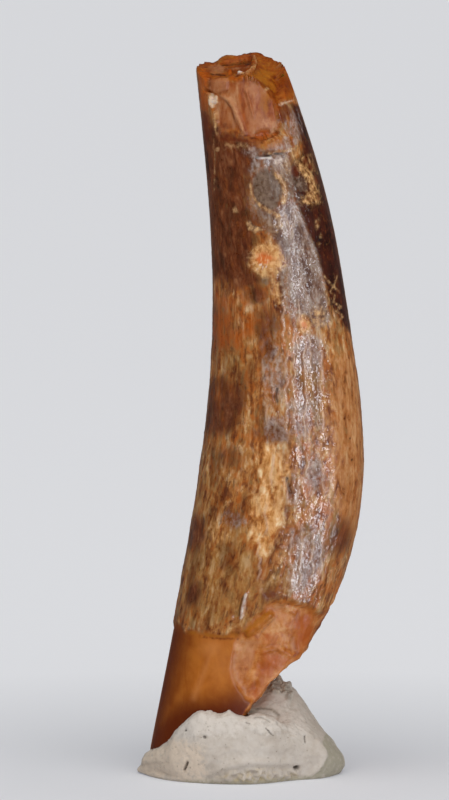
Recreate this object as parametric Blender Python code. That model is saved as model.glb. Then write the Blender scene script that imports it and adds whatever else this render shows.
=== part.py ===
"""A fossil pterosaur tooth that stands in a pinched lump of mounting putty.

The tooth is one solid: a curved, slightly flattened crown on a stub of root, with its tip snapped
off and a large flake struck from its foot. The putty is another: a lump with a flat underside, and
a socket that the foot of the tooth sits in. Metres, +Z up, +X to the right of the tooth's front.
The origin is the middle of the putty's underside.
"""

import math

import bmesh
import bpy
from mathutils import Matrix, Vector

MM = 0.001

# The tooth. It is lofted through level, oval sections. Each station is the height of a section,
# how far its middle lies to the right, and its half width, in millimetres.
TOOTH_STATIONS = (
    (0.0, -1.10, 4.40),
    (4.0, -0.33, 4.43),
    (8.0, 0.48, 4.44),
    (10.0, 0.90, 4.54),
    (12.0, 1.44, 4.67),
    (14.0, 1.92, 4.80),
    (16.0, 2.21, 4.80),
    (20.0, 2.52, 4.49),
    (25.0, 2.40, 4.04),
    (30.0, 2.03, 3.64),
    (35.0, 1.26, 3.23),
    (40.0, 0.20, 2.66),
    (43.0, -0.50, 2.20),
)
TOOTH_FOOT = 0.9  # height of the broken lower end, inside the putty
DEPTH_SHARE = 0.80  # a section's depth over its width
RINGS = 44
SIDES = 36

# The snapped tip: two faces that lean forwards and meet in a blunt ridge. The ridge's back end,
# and each face's outward direction.
TIP_PEAK = Vector((0.92, 2.2, 41.60))
TIP_LEFT_SLOPE = Vector((-0.12, -0.28, 0.95))
TIP_RIGHT_SLOPE = Vector((0.24, -0.26, 0.93))

# The flakes struck from the lower right of the tooth: two wide, shallow hollows, one above the
# other. Each has the middle of its hollow, and the direction that it faces.
UPPER_FLAKE = (Vector((4.50, 1.5, 8.10)), Vector((0.84, -0.25, -0.48)))
LOWER_FLAKE = (Vector((1.60, 2.6, 5.00)), Vector((0.67, -0.20, -0.71)))
FLAKE_DEPTH = 0.15
FLAKE_RADIUS = 14.0

# The scars where only the outer layer has come away. Each is a block that the layer is missing in:
# its middle, its size, and how far it is turned in the front view.
LAYER = 0.35
TIP_SCAR = (Vector((0.35, -3.5, 38.55)), Vector((4.3, 5.0, 3.8)), 0.0)
FOOT_SCAR = (Vector((4.30, -4.0, 6.20)), Vector((8.6, 7.0, 5.4)), -15.0)

# The putty: a ball flattened to these half sizes, then pinched and pulled.
PUTTY_HALF_SIZES = Vector((5.8, 4.9, 3.1))
PUTTY_MIDDLE = Vector((0.0, 0.0, 1.0))
SOCKET_GAP = 0.30  # between the tooth and the wall of its socket
SOCKET_TOP = 12.0

# How the lump was worked. Each pull has the place it was gripped at, how far it spreads, and how
# far it went.
PUTTY_PULLS = (
    (Vector((2.4, 1.2, 3.8)), 2.8, Vector((0.0, 0.2, 1.55))),  # the heap behind the flakes
    (Vector((-2.3, -3.8, 2.5)), 2.8, Vector((0.0, -0.3, 1.45))),  # the lip in front of the tooth
    (Vector((1.2, -3.6, 2.8)), 2.4, Vector((0.0, -0.1, 0.55))),  # the same lip, to the right
    (Vector((-1.0, 4.0, 2.6)), 3.4, Vector((0.0, 0.2, 0.7))),  # the lip behind the tooth
    (Vector((-5.2, 0.4, 2.0)), 3.0, Vector((-0.3, -0.2, -1.3))),  # the low tongue at the left
    (Vector((5.3, -0.2, 1.9)), 2.8, Vector((0.35, 0.2, -0.9))),  # the wedge at the right
    (Vector((3.4, -4.2, 0.6)), 2.8, Vector((-0.2, 0.8, 0.0))),  # the pinched side, front right
)


def collection(name):
    made = bpy.data.collections.new(name)
    bpy.context.scene.collection.children.link(made)
    return made


def material(name, colour, roughness):
    made = bpy.data.materials.new(name)
    made.use_nodes = True
    shader = made.node_tree.nodes["Principled BSDF"]
    shader.inputs["Base Color"].default_value = (*colour, 1.0)
    shader.inputs["Roughness"].default_value = roughness
    shader.inputs["Metallic"].default_value = 0.0
    return made


def mesh_object(name, bm, group):
    """A bmesh in millimetres, as an object in metres."""
    bmesh.ops.scale(bm, vec=Vector((MM, MM, MM)), verts=bm.verts)
    bmesh.ops.recalc_face_normals(bm, faces=bm.faces)
    mesh = bpy.data.meshes.new(name)
    bm.to_mesh(mesh)
    bm.free()
    made = bpy.data.objects.new(name, mesh)
    group.objects.link(made)
    return made


def section(height):
    """The middle and the half width of the tooth at a height, on a smooth curve through the
    stations: cubic pieces whose slope at a station is that between its neighbours."""
    last = len(TOOTH_STATIONS) - 1
    after = next(i for i in range(1, last + 1) if height <= TOOTH_STATIONS[i][0] or i == last)
    before = after - 1
    low, high = TOOTH_STATIONS[before], TOOTH_STATIONS[after]
    step = high[0] - low[0]
    t = (height - low[0]) / step

    def slope(at, column):
        first, second = TOOTH_STATIONS[max(at - 1, 0)], TOOTH_STATIONS[min(at + 1, last)]
        return (second[column] - first[column]) / (second[0] - first[0])

    def blend(column):
        bend_in = slope(before, column) * step
        bend_out = slope(after, column) * step
        rise = high[column] - low[column]
        return (
            low[column]
            + bend_in * t
            + (3 * rise - 2 * bend_in - bend_out) * t**2
            + (bend_in + bend_out - 2 * rise) * t**3
        )

    return blend(1), blend(2)


def loft_tooth(foot, top, grow=0.0):
    """The unbroken tooth between two heights, with its sides moved outwards by grow."""
    bm = bmesh.new()
    rings = []
    for i in range(RINGS + 1):
        height = foot + (top - foot) * i / RINGS
        middle, half_width = section(height)
        oval = Matrix.Diagonal((half_width + grow, half_width * DEPTH_SHARE + grow, 1.0, 1.0))
        place = Matrix.Translation((middle, 0.0, height)) @ oval
        made = bmesh.ops.create_circle(bm, segments=SIDES, radius=1.0, matrix=place)
        rings.append({edge for vert in made["verts"] for edge in vert.link_edges})
    for lower, upper in zip(rings, rings[1:]):
        bmesh.ops.bridge_loops(bm, edges=list(lower | upper))
    bmesh.ops.holes_fill(bm, edges=[edge for edge in bm.edges if edge.is_boundary])
    return bm


def slab_cutter(name, point, outward, group):
    """A block whose face passes through point, and that lies on the outward side of it."""
    size = 30.0
    turn = outward.to_track_quat("Z", "Y").to_matrix().to_4x4()
    place = Matrix.Translation(point) @ turn @ Matrix.Translation((0.0, 0.0, size / 2))
    bm = bmesh.new()
    bmesh.ops.create_cube(bm, size=size, matrix=place)
    return mesh_object(name, bm, group)


def strike_flakes(target, group, clearance=0.0):
    """Hollows the foot of a target with two balls, which stand off from the flakes by clearance."""
    for name, (middle, outward) in (("upper_flake", UPPER_FLAKE), ("lower_flake", LOWER_FLAKE)):
        centre = middle + outward.normalized() * (FLAKE_RADIUS - FLAKE_DEPTH + clearance)
        place = Matrix.Translation(centre)
        bm = bmesh.new()
        bmesh.ops.create_icosphere(bm, subdivisions=5, radius=FLAKE_RADIUS, matrix=place)
        cut(target, mesh_object(f"{target.name}_{name}", bm, group))


def layer_cutter(name, middle, size, turn_degrees, group):
    """What a block holds of the tooth's outer layer, and all that lies outside it."""
    turn = Matrix.Rotation(math.radians(turn_degrees), 4, "Y")
    place = Matrix.Translation(middle) @ turn @ Matrix.Diagonal((*size, 1.0))
    bm = bmesh.new()
    bmesh.ops.create_cube(bm, size=1.0, matrix=place)
    block = mesh_object(name, bm, group)
    core = loft_tooth(TOOTH_FOOT, TOOTH_STATIONS[-1][0], grow=-LAYER)
    cut(block, mesh_object(name + "_core", core, group))
    return block


def cut(target, cutter):
    """Takes the cutter's shape out of the target, and hides the cutter."""
    cutter.display_type = "WIRE"
    cutter.hide_render = True
    modifier = target.modifiers.new(cutter.name, "BOOLEAN")
    modifier.operation = "DIFFERENCE"
    modifier.object = cutter


def shade_smooth(target, sharp_degrees):
    target.data.shade_smooth()
    target.data.set_sharp_from_angle(angle=math.radians(sharp_degrees))


def make_tooth(parts, cutters):
    top = TOOTH_STATIONS[-1][0]
    tooth = mesh_object("tooth", loft_tooth(TOOTH_FOOT, top), parts)
    cut(tooth, slab_cutter("tip_left_slope", TIP_PEAK, TIP_LEFT_SLOPE, cutters))
    cut(tooth, slab_cutter("tip_right_slope", TIP_PEAK, TIP_RIGHT_SLOPE, cutters))
    cut(tooth, layer_cutter("tip_scar", *TIP_SCAR, cutters))
    cut(tooth, layer_cutter("foot_scar", *FOOT_SCAR, cutters))
    strike_flakes(tooth, cutters)
    shade_smooth(tooth, 35)
    tooth.data.materials.append(material("fossil_tooth", (0.30, 0.13, 0.045), 0.35))


def pull(bm, place, reach, move):
    """Moves what lies near a place, fading out smoothly over the reach."""
    for vert in bm.verts:
        nearness = max(0.0, 1.0 - (vert.co - place).length / reach)
        vert.co += move * (nearness * nearness * (3.0 - 2.0 * nearness))


def make_putty(parts, cutters):
    bm = bmesh.new()
    flattened = Matrix.Translation(PUTTY_MIDDLE) @ Matrix.Diagonal((*PUTTY_HALF_SIZES, 1.0))
    bmesh.ops.create_icosphere(bm, subdivisions=4, radius=1.0, matrix=flattened)
    for place, reach, move in PUTTY_PULLS:
        pull(bm, place, reach, move)
    putty = mesh_object("putty", bm, parts)
    cut(putty, slab_cutter("underside", Vector((0.0, 0.0, 0.0)), Vector((0.0, 0.0, -1.0)), cutters))
    foot = loft_tooth(TOOTH_FOOT - SOCKET_GAP, SOCKET_TOP, grow=SOCKET_GAP)
    socket = mesh_object("socket", foot, cutters)
    strike_flakes(socket, cutters, clearance=SOCKET_GAP)
    cut(putty, socket)
    shade_smooth(putty, 50)
    putty.data.materials.append(material("mounting_putty", (0.60, 0.57, 0.52), 0.7))


def main():
    for old in list(bpy.data.objects):
        bpy.data.objects.remove(old)
    parts = collection("fossil_pterosaur_tooth")
    cutters = collection("cutters")
    make_tooth(parts, cutters)
    make_putty(parts, cutters)


main()
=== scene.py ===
"""The looks of a fossil pterosaur tooth that stands in a pinched lump of mounting putty.

Shapes are worked out in millimetres with numpy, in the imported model's own frame (+Z up, the front at
-Y), and turned into metres as each mesh is made. The tooth is a fine grid wrapped round the CAD
tooth's sections: its broken faces are found by casting rays from its spine, and the ridges, steps and
pits are then raised from it. The putty is the CAD lump, remeshed finely and worked over. Both carry
mask attributes, such as enamel or gold, that their node materials read.

Marks on the front are placed by where they are in the picture, as (across, down) pixels of its
449 x 800 frame. The fixed view below turns each point of a mesh into such a place, so a mark is drawn
onto the shape itself and stays there from every side.
"""

import itertools
import math

import bpy
import numpy as np
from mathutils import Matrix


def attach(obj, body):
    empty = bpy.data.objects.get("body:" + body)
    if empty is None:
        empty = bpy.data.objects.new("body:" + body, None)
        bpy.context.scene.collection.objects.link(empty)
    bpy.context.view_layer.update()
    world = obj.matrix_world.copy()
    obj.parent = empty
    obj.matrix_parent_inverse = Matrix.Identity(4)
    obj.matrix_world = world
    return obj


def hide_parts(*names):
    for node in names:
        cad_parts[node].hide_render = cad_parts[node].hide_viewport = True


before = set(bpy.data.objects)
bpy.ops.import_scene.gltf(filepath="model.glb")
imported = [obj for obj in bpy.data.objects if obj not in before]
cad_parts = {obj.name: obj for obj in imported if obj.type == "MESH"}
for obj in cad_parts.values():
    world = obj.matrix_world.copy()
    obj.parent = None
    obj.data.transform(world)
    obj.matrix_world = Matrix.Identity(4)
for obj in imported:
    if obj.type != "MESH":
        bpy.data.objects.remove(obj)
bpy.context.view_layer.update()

MM = 0.001
FRONT = -math.pi / 2  # the angle round the tooth that faces the front

# The view that the picture was taken from.
CAMERA_AIM = np.array((-0.89, 0.0, 21.6))
CAMERA_DISTANCE = 350.0
CAMERA_ELEVATION = math.radians(5.0)
CAMERA_LENS = 274.1
SENSOR = 36.0
PICTURE_WIDTH, PICTURE_HEIGHT = 449, 800
TOWARDS_CAMERA = np.array((0.0, -math.cos(CAMERA_ELEVATION), math.sin(CAMERA_ELEVATION)))


# ---------------------------------------------------------------- noise and outlines


def smooth(low, high, value):
    """0 at low, 1 at high, with a soft start and end."""
    t = np.clip((value - low) / (high - low), 0.0, 1.0)
    return t * t * (3.0 - 2.0 * t)


CELL_PRIMES = np.array((73856093, 19349663, 83492791))  # scatter neighbouring cells over the table
NOISE_GAIN = 1.6  # brings the noise to about -1 to 1


def noise(points, seed):
    """Gradient noise from about -1 to 1. Its lumps are about one unit across."""
    table = np.random.default_rng(seed).normal(size=(256, 3))
    table /= np.linalg.norm(table, axis=1)[:, None]
    cell = np.floor(points).astype(np.int64)
    inside = points - cell
    fade = inside**3 * (inside * (inside * 6.0 - 15.0) + 10.0)
    total = np.zeros(len(points))
    for corner in itertools.product((0, 1), repeat=3):
        step = np.array(corner)
        key = np.bitwise_xor.reduce((cell + step) * CELL_PRIMES, axis=1)
        pick = table[(key ^ (key >> 8) ^ (key >> 16)) & 255]
        weight = np.prod(np.where(step, fade, 1.0 - fade), axis=1)
        total += weight * np.sum(pick * (inside - step), axis=1)
    return total * NOISE_GAIN


def layered(points, seed, layers, gain=0.5):
    """Noise with ever finer and weaker noise on top of it."""
    total = np.zeros(len(points))
    for layer in range(layers):
        total += gain**layer * noise(points * 2.0**layer, seed + layer)
    return total


def creased(points, seed):
    """Noise with sharp crests: 1 on a crest, falling to about 0 away from it."""
    return 1.0 - 2.0 * np.abs(noise(points, seed))


def picture(points):
    """Where each point shows in the picture: pixels across and down."""
    up, along = math.sin(CAMERA_ELEVATION), math.cos(CAMERA_ELEVATION)
    forward, upward = np.array((0.0, along, -up)), np.array((0.0, up, along))
    from_camera = points - (CAMERA_AIM - CAMERA_DISTANCE * forward)
    focus = CAMERA_LENS / SENSOR * PICTURE_HEIGHT / (from_camera @ forward)
    across = PICTURE_WIDTH / 2 + from_camera[:, 0] * focus
    down = PICTURE_HEIGHT / 2 - (from_camera @ upward) * focus
    return across, down


def line_distance(u, v, points):
    """How far each place is from a line drawn through some points."""
    nearest = np.full(u.shape, np.inf)
    for (au, av), (bu, bv) in zip(points, points[1:]):
        run, fall = bu - au, bv - av
        along = np.clip(((u - au) * run + (v - av) * fall) / (run**2 + fall**2), 0.0, 1.0)
        nearest = np.minimum(nearest, np.hypot(u - au - along * run, v - av - along * fall))
    return nearest


def area(u, v, outline):
    """How deep each place lies inside a closed outline; negative outside it."""
    closed = (*outline, outline[0])
    inside = np.zeros(u.shape, bool)
    for (au, av), (bu, bv) in zip(closed, closed[1:]):
        spans = (av > v) != (bv > v)
        slope = (bu - au) / (bv - av) if bv != av else 0.0
        inside ^= spans & (u < au + slope * (v - av))
    away = line_distance(u, v, closed)
    return np.where(inside, away, -away)


def oval(u, v, middle, half_width, half_height, lean_degrees=0.0):
    """How deep each place lies inside an oval, roughly. A positive lean tips its top to the right."""
    lean = math.radians(lean_degrees)
    du, dv = u - middle[0], v - middle[1]
    across = (du * math.cos(lean) + dv * math.sin(lean)) / half_width
    down = (dv * math.cos(lean) - du * math.sin(lean)) / half_height
    return (1.0 - np.hypot(across, down)) * min(half_width, half_height)


# ---------------------------------------------------------------- marks on the front

# Each mark is its cover, its rise and its shares. The cover says how much of the mark lies on every
# place in the picture, from 0 to 1, with an edge that is soft over some pixels. The rise is how far
# it stands proud, in millimetres, and the shares say how much of each pigment it brings.


def mark(depth, soft, rise, shares):
    """A mark that covers what lies deeper than 0 in a shape."""
    return (lambda u, v: smooth(-soft, soft, depth(u, v))), rise, shares


def line(half_width, *points, soft=1.2, rise=0.0, **shares):
    """A line drawn with a round pen."""
    return mark(lambda u, v: half_width - line_distance(u, v, points), soft, rise, shares)


def patch(*outline, soft=4.0, rise=0.0, **shares):
    """All that a closed outline holds."""
    return mark(lambda u, v: area(u, v, outline), soft, rise, shares)


def spot(middle, half_width, half_height, lean=0.0, soft=4.0, rise=0.0, **shares):
    """An oval. A positive lean tips its top to the right."""
    return mark(lambda u, v: oval(u, v, middle, half_width, half_height, lean), soft, rise, shares)


def ring(u, v, middle, radius, level):
    """Points on a ring, for noise that changes only with the direction from the middle."""
    angle = np.arctan2(v - middle[1], u - middle[0])
    return np.stack((radius * np.cos(angle), radius * np.sin(angle), np.full(len(u), level)), axis=1)


def fibres(middle, half_width, half_height, soft, **shares):
    """Fine lines that run out from the middle of an oval."""

    def cover(u, v):
        inside = smooth(-soft, soft, oval(u, v, middle, half_width, half_height))
        return inside * smooth(-0.1, 0.35, noise(ring(u, v, middle, 5.0, 3.0), 72))

    return cover, 0.0, shares


def star(middle, half_width, half_height, spokes, soft, **shares):
    """An oval whose edge runs out in spokes, about that many pixels long."""

    def depth(u, v):
        edge = spokes * noise(ring(u, v, middle, 2.2, 0.0), 70)
        return oval(u, v, middle, half_width, half_height) + edge

    return mark(depth, soft, 0.0, shares)


def cover_of(marks, name, u, v):
    """How much of one mark lies on each place."""
    cover, _, _ = marks[name]
    return cover(u, v)


def marked_height(marks, u, v):
    """How far the marks stand proud at each place, in millimetres."""
    return sum(rise * cover(u, v) for cover, rise, _ in marks.values() if rise)


def marked_pigments(marks, u, v):
    """How much of each pigment the marks put on each place, from 0 to 1."""
    masks = {}
    for cover, _, shares in marks.values():
        amount = cover(u, v) if shares else None
        for name, share in shares.items():
            masks[name] = np.maximum(masks.get(name, 0.0), share * amount)
    return masks


# The grey-lilac band of painted sheen across the upper half of the enamel, in the picture: the
# window's reflection.
SHEEN_BAND = (
    (264, 213), (296, 200), (307, 229), (318, 255), (325, 289), (330, 320), (318, 330), (296, 312),
    (288, 290), (286, 262), (276, 240),
)

# The marks on the tooth's front, from the tip down, placed in the picture.
TOOTH_MARKS = {
    # The snapped tip.
    "slit": line(1.0, (222, 64.5), (238, 62.5), (251, 60), soft=1.4, rise=-0.22, crack=0.8),
    "slit's end": spot((247, 62.5), 5, 1.4, 10, soft=1.6, crack=0.7),
    "hollow": patch(
        (227, 66), (250, 62), (253, 66), (249, 71), (238, 73), (229, 70), soft=1.6, rise=-0.13, umber=0.6
    ),
    "hollow's rim": line(1.0, (228, 69), (248, 65), soft=1.8, blush=0.7),
    # The curl's pale line is a painted highlight along its raised rim.
    "curl": line(
        1.4, (253.5, 58), (254.5, 65), (251.5, 71), (246, 75), (239, 74), soft=1.6, rise=0.20, pale=0.45
    ),
    "curl's glint": spot((240, 73.5), 2.7, 1.6, soft=1.6, pale=1.0, white=1.0),
    "ring": line(1.8, (230, 70), (230, 77), (236, 80.5), (242, 78), soft=1.6, rise=0.12, glow=0.9),
    "inside the ring": spot((236, 74), 3.5, 3.0, soft=1.6, rise=-0.10),
    "crease": line(0.8, (211, 74), (225, 75), rise=-0.12, crack=1.0),
    "notch": line(1.1, (279.5, 104.5), (292, 100.5), soft=1.6, rise=-0.10, pale=0.6, white=0.4),
    "upper left face": patch((209, 66), (224, 65), (224, 73), (211, 74), soft=2.4, blush=0.8),
    # The blush along the back edge is a painted highlight on the tip's top strip.
    "back edge": line(1.4, (226, 61), (236, 60), (246, 58), soft=2.0, blush=0.6),
    "behind the edge": patch((224, 57), (248, 54), (252, 58), (238, 61), (224, 63), soft=2.0, glow=0.6),
    "left side": patch(
        (190, 72), (205, 69), (209, 78), (209, 92), (208, 104), (206, 112), (190, 104), glow=0.9
    ),
    # The umber down the left margin is painted shade along the tooth's left edge.
    "left margin": patch(
        (196, 88), (205, 92), (210, 112), (211, 135), (204, 150), (196, 130), soft=6.0, umber=0.9
    ),
    "right facet": patch(
        (252, 72), (262, 66), (275, 74), (274, 92), (262, 83), (250, 77), soft=5.0, ochre=0.85
    ),
    "right side": patch((276, 66), (288, 74), (293, 92), (284, 92), (276, 80), soft=5.0, umber=0.45),
    "over the notch": patch((278, 94), (291, 92), (293, 100), (281, 103), glow=0.4),
    # The window under it, where a layer has flaked off.
    "window's facet": patch(
        (208, 79), (228, 79), (228, 90), (216, 93), (208, 89), soft=1.6, rise=0.14, blush=0.8
    ),
    "window's step": line(
        2.2, (223, 96), (229, 100), (233, 105), (237, 115), (240, 122), (244, 133), soft=2.2, rise=0.13,
        blush=0.8, pale=0.3,
    ),
    # The umber left of the window's step is painted shade beside the raised step.
    "left of the step": line(
        1.0, (222, 97), (227, 101), (232, 110), (235, 120), (237, 131), soft=2.4, umber=0.9
    ),
    "window's rib": line(1.2, (246, 90), (250, 104), (253, 116), rise=0.10),
    "window's middle": patch(
        (244, 84), (254, 83), (258, 110), (262, 122), (256, 132), (246, 128), (243, 105), soft=5.0, blush=0.75
    ),
    "window's left": spot((222, 117), 5, 14, soft=5.0, blush=0.4),
    "window's lower left": spot((226, 126), 6, 3, umber=0.8),
    "window's lower right": spot((268, 124), 8, 5, blush=1.0),
    "window's right": spot((264, 103), 6, 14, soft=5.0, ochre=0.7),
    "window's foot": patch((262, 120), (272, 117), (275, 124), (266, 129), (258, 131), pale=0.3),
    "left streak": line(2.0, (240, 96), (243, 108), (245, 120), soft=3.0, glow=0.6),
    "middle streak": line(1.2, (241, 88), (242, 104), (247, 122), soft=2.6, umber=0.6),
    "right streak": line(1.4, (258, 90), (262, 108), (266, 118), soft=3.0, umber=0.5),
    "window's right edge": line(
        1.2, (251, 77), (262, 85), (271, 92), (275, 104), (277, 118), (276, 127), soft=1.8, rise=0.07,
        umber=0.7,
    ),
    "by the right edge": line(1.6, (274, 100), (277, 108), (278, 118), soft=2.4, glow=0.5),
    "window's chip": spot((266, 89.5), 2.0, 1.6, soft=1.8, pale=0.6),
    "white chip": patch(
        (209, 95), (213, 93), (218, 96), (218, 103), (212, 108), (209, 104), soft=1.2, rise=0.08, pale=1.0,
        white=0.45,
    ),
    "white chip's middle": spot((213.4, 102.5), 1.7, 2.8, soft=1.4, rise=-0.06, crack=1.0),
    "streak under the chip": line(1.0, (214, 118), (215, 126), (217, 134), soft=1.6, cream=0.8),
    "crescent": patch(
        (255, 133), (263, 130), (278, 130), (280, 133), (268, 139), (256, 138), soft=1.2, rise=-0.20, glow=0.7
    ),
    "crescent's shadow": line(1.3, (250, 138.5), (262, 139.5), (272, 136), (279, 132), soft=2.0, umber=1.0),
    "crack beside the crescent": line(0.8, (238, 133), (248, 137), (258, 138.5), soft=1.6, crack=0.6),
    # The umber under the window is painted shadow under its step.
    "step under the window": patch(
        (219, 132), (235, 129.5), (241, 134), (248, 139), (257, 144), (239, 142), (221, 141), soft=2.2,
        rise=-0.06, umber=0.65,
    ),
    "specks under the step": patch((222, 142), (250, 143), (252, 150), (224, 149), cream=0.45),
    "right of the window": patch((278, 104), (287, 104), (292, 110), (284, 122), (278, 120), umber=0.9),
    # The lilac right of the window is painted highlight: the pale grey-pink blotches where it reflects.
    "film right of the window": patch(
        (286, 112), (297, 110), (302, 130), (300, 142), (290, 138), (283, 126), soft=5.0, lilac=0.9
    ),
    "thin flake": patch(
        (256, 147), (269, 140), (284, 134), (298, 138), (297, 146), (283, 152), (269, 154), soft=1.4,
        rise=0.14, calm=1.0,
    ),
    "flake's amber end": patch(
        (258, 146), (268, 141), (281, 137), (280, 145), (263, 151), soft=3.0, ochre=1.0
    ),
    "flake's pale end": patch((270, 148), (284, 136), (297, 138), (296, 146), (283, 151), lilac=0.6),
    "flake's edge": line(1.0, (269, 153.5), (282, 151.8), (289, 150), (297.5, 146), soft=1.6, pale=0.8),
    "crack under the flake": line(1.0, (256.5, 157.5), (271, 154.7), (283, 152.3), rise=-0.20, crack=1.0),
    "glint under the crack": line(1.2, (257, 158.2), (264, 157.8), (271.5, 157.2), white=1.0),
    # The dark brown at the upper left.
    "upper left": patch(
        (170, 106), (205, 114), (225, 134), (256, 140), (262, 160), (252, 175), (248, 200), (258, 222),
        (256, 240), (248, 262), (262, 280), (251, 292), (238, 288), (215, 280), (170, 285), soft=10.0,
        dark=1.0,
    ),
    "calm of the upper left": patch(
        (196, 140), (240, 140), (246, 200), (246, 280), (196, 280), soft=8.0, calm=0.6
    ),
    # The deep brown down the left margin is painted shade along the tooth's left edge.
    "dark left margin": patch(
        (180, 136), (206, 134), (211, 160), (206, 200), (190, 210), (180, 170), soft=8.0, deep=0.9
    ),
    "dot": spot((217.5, 149.5), 1.8, 2.2, soft=1.8, pale=0.8),
    "long left streak": line(0.6, (213, 134), (215, 160), (214, 190), soft=1.6, cream=0.55),
    "pale dot": spot((235, 210), 3.4, 3.4, soft=2.6, cream=0.5),
    "film at the upper left": spot((248, 150), 9, 6, soft=6.0, lilac=0.4),
    # The grey band of painted sheen, with its oval.
    "oval": spot((267, 190), 15, 21, soft=2.8, rise=-0.03, calm=1.0, grey=1.0),
    "oval's left rim": line(1.0, (250.5, 183), (251.5, 193), (256, 201.5), (265, 208), soft=1.8, cream=1.0),
    "oval's foot": line(1.8, (261, 206), (270, 212), (280, 217), soft=2.4, cream=1.0),
    "oval's right rim": line(
        2.2, (276, 174), (283, 183), (286, 191), (283, 202), soft=2.6, rise=0.05, cream=1.0
    ),
    "round the oval": patch(
        (250, 150), (290, 148), (298, 200), (300, 230), (276, 242), (262, 226), (250, 210), soft=8.0,
        film=0.75,
    ),
    "gloss over the oval": spot((272, 164), 10, 8, soft=5.0, gloss=1.0),
    "bloom over the oval": patch((262, 158), (283, 155), (283, 164), (266, 166), soft=3.0, lilac=0.8),
    "granular": spot((279, 165), 9, 9, calm=0.6),
    "granular olive": patch((264, 156), (288, 154), (292, 168), (288, 178), (272, 168), olive=0.7),
    "granular grey": patch(
        (262, 158), (284, 156), (290, 170), (296, 190), (290, 202), (276, 170), soft=6.0, grey=0.7
    ),
    "granular cream": patch((270, 157), (287, 156), (292, 170), (287, 182), (277, 172), soft=5.0, cream=0.4),
    "granular glint": spot((279, 160), 6, 5, white=0.35),
    "band": patch(*SHEEN_BAND, film=1.0),
    "band's gloss": patch(*SHEEN_BAND, soft=8.0, gloss=0.35),
    "band's lower gloss": patch(
        (286, 262), (318, 255), (330, 320), (318, 330), (296, 312), (288, 290), soft=8.0, gloss=0.6
    ),
    "band's edge": line(
        1.6, (292, 196), (300, 213), (310, 238), (319, 262), (326, 290), (331, 325), rise=0.04
    ),
    "specks in the band": patch(
        (262, 218), (285, 214), (298, 226), (290, 238), (272, 236), soft=6.0, cream=0.35
    ),
    "tan in the band": spot((305, 297), 6, 14, soft=5.0, tan=0.8),
    "film beside the tail": patch(
        (270, 262), (290, 262), (312, 330), (296, 332), (280, 300), soft=7.0, film=0.7
    ),
    # The gold net, the dots and the worms on the dark brown at the upper right.
    "upper right": patch(
        (292, 104), (330, 100), (400, 300), (372, 345), (346, 330), (330, 305), (316, 255), (305, 229),
        (296, 205), (288, 170), (303, 150), deep=1.0,
    ),
    "net": patch(
        (294, 160), (303, 160), (312, 170), (318, 185), (321, 202), (312, 208), (300, 203), (303, 196),
        (309, 190), (305, 180), (297, 170), soft=6.0, sand=0.55,
    ),
    "net's top": patch((289, 152), (312, 154), (319, 176), (310, 172), (296, 164), soft=5.0, sand=0.4),
    "net's thread": line(
        1.6, (296, 163), (304, 170), (309, 178), (313, 187), (313, 196), soft=3.0, cream=0.35
    ),
    "net's ring": patch(
        (293, 176), (303, 176), (309, 184), (308, 191), (300, 192), (294, 186), soft=3.0, grey=0.7
    ),
    "net's top hole": spot((305, 161), 2.4, 3.2, soft=2.0, umber=1.0),
    "net's right hole": spot((310, 167), 2.0, 3.2, soft=2.0, umber=1.0),
    "net's left hole": spot((295, 172), 3.6, 6.0, -10, soft=2.4, umber=0.9),
    "net's middle hole": spot((316, 180), 1.8, 4.0, -10, soft=2.0, umber=0.8),
    "net's low hole": spot((309, 199), 2.0, 2.0, soft=1.8, umber=0.8),
    "net's low right hole": spot((318, 197), 1.6, 3.6, soft=1.8, umber=0.8),
    "first dot": spot((317, 224), 2.6, 5.0, 10, soft=2.4, cream=0.6),
    "second dot": spot((321, 236), 1.8, 2.4, soft=1.8, cream=0.55),
    "third dot": spot((319, 244), 1.8, 2.4, soft=1.8, cream=0.5),
    "worm": line(
        0.9, (324, 276), (329, 282), (333, 287), (330, 292), (335, 296), (333, 302), (341, 307), (336, 311),
        (343, 316), (338, 322), soft=1.6, cream=0.75,
    ),
    "little worm": line(0.9, (337, 276), (334, 287), (339, 292), soft=1.6, cream=0.7),
    "last worm": line(0.9, (326, 292), (329, 301), (327, 309), soft=1.6, cream=0.7),
    "worms' shadow": line(
        0.7, (327, 285), (329, 293), (333, 299), (331, 312), (337, 324), soft=1.6, crack=0.7
    ),
    # The spots.
    "gold crescent": patch(
        (246.5, 221), (249, 229), (255, 232), (262, 230), (262.5, 226), (255, 226), (251, 221), soft=1.6,
        rise=0.03, grey=1.0, sand=0.4,
    ),
    "crescent's rim": line(
        1.1, (247, 222), (249.5, 229), (254, 231.5), (262, 230), soft=1.5, rise=0.02, cream=0.95
    ),
    "olive over the spot": spot((240, 236), 6, 4, olive=1.0),
    "olive beside the spot": spot((253, 240), 8, 5, olive=1.0),
    "main spot": star((267.5, 260), 16.5, 15.5, spokes=2.0, soft=7.0, sand=1.0),
    "main spot's swelling": spot((268, 258), 17, 16, soft=5.0, rise=0.08, calm=0.8),
    "main spot's core": spot((263.5, 258.5), 8.0, 5.2, soft=2.4, rise=-0.05, rust=1.0),
    "round the core": star((264, 258), 11, 8, spokes=2.0, soft=5.0, rust=0.5),
    "main spot's fibres": fibres((264, 259), 17, 15, soft=6.0, pale=0.7),
    "white fibres": fibres((264, 266), 10, 4, soft=3.0, white=0.7),
    "main spot's tail": line(3.0, (274, 272), (278, 288), (279, 303), soft=6.0, sand=0.7),
    "grey under the main spot": spot((266, 281), 6, 5, grey=0.6),
    "dark under the main spot": spot((256, 294), 12, 10, soft=8.0, dark=0.85),
    "second spot": spot((304, 324.5), 7.0, 9.0, soft=3.0, rise=0.06, sand=1.0),
    "second spot's core": spot((304, 325), 3.4, 4.6, soft=2.4, rust=0.55),
    "sand beside the second spot": spot((318, 318), 8, 12, soft=6.0, sand=0.5),
    # The upper half of the enamel.
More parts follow.
